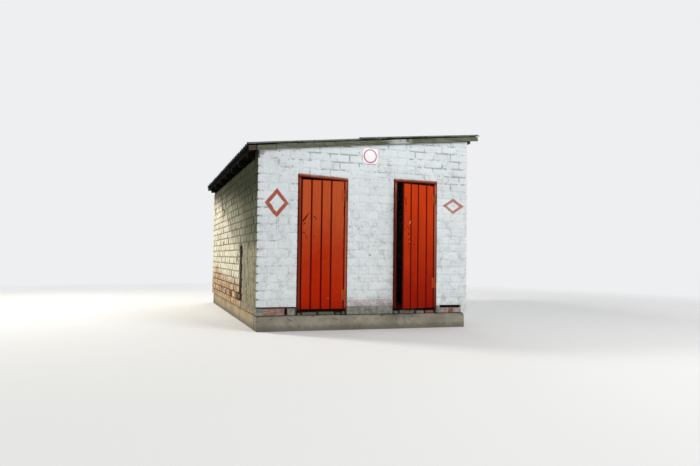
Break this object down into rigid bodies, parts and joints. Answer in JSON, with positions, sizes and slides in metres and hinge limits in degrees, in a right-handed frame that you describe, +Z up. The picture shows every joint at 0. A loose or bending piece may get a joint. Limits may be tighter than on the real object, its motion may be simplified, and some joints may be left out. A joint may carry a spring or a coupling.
{
  "type": "brick outhouse",
  "caption": "Small whitewashed brick outhouse with a corrugated lean-to roof and two red board doors, one of them ajar.",
  "frame": {"origin": "middle of the underside of the floor fill, level with the foot of the foundation", "axes": "+Z up; the doors face -Y; the roof rises towards +X; +Y runs along the depth"},
  "size_m": [3.2166, 5.2227, 2.6676],
  "materials": {
    "whitewashed_brick": "whitewashed brickwork, worn",
    "concrete": "rough cast concrete",
    "rubble": "packed rubble",
    "roof_sheet": "weathered fibre cement",
    "grey_timber": "weathered bare timber",
    "frame_paint": "faded red-brown paint",
    "door_paint": "red-orange gloss paint",
    "hinge_steel": "painted over with the door",
    "sign_enamel": "white enamel"
  },
  "bodies": {
    "building": {"front_pier_left": "whitewashed_brick", "front_pier_middle": "whitewashed_brick", "front_pier_right": "whitewashed_brick", "wall_over_left_door": "whitewashed_brick", "wall_over_right_door": "whitewashed_brick", "back_wall": "whitewashed_brick", "left_wall": "whitewashed_brick", "right_wall": "whitewashed_brick", "foundation_front": "concrete", "foundation_back": "concrete", "foundation_left": "concrete", "foundation_right": "concrete", "floor_slab": "concrete", "left_threshold": "concrete", "right_threshold": "concrete", "floor_fill": "rubble", "roof_sheets_lower": "roof_sheet", "roof_sheets_upper": "roof_sheet", "rafters": "grey_timber", "purlins": "grey_timber", "front_verge_board": "grey_timber", "front_verge_short_board": "grey_timber", "back_verge_board": "grey_timber", "left_door_jambs": "frame_paint", "left_door_head": "frame_paint", "left_door_sill": "frame_paint", "left_door_stops": "frame_paint", "right_door_jambs": "frame_paint", "right_door_head": "frame_paint", "right_door_sill": "frame_paint", "right_door_stops": "frame_paint", "left_frame_hinges": "hinge_steel", "right_frame_hinges": "hinge_steel", "sign_plate": "sign_enamel"},
    "left_door": {"left_door_boards": "door_paint", "left_door_ledges": "grey_timber", "left_door_brace": "grey_timber", "left_door_hinges": "hinge_steel"},
    "right_door": {"right_door_boards": "door_paint", "right_door_ledges": "grey_timber", "right_door_brace": "grey_timber", "right_door_hinges": "hinge_steel"}
  },
  "joints": [
    {"name": "left_door_hinge", "type": "hinge", "parent": "building", "child": "left_door", "pos_m": [-0.328, -2.5245, 1.1], "axis": [0, 0, 1], "range_deg": [0, 165]},
    {"name": "right_door_hinge", "type": "hinge", "parent": "building", "child": "right_door", "pos_m": [0.942, -2.5245, 1.1], "axis": [0, 0, 1], "range_deg": [-17, 148]}
  ]
}
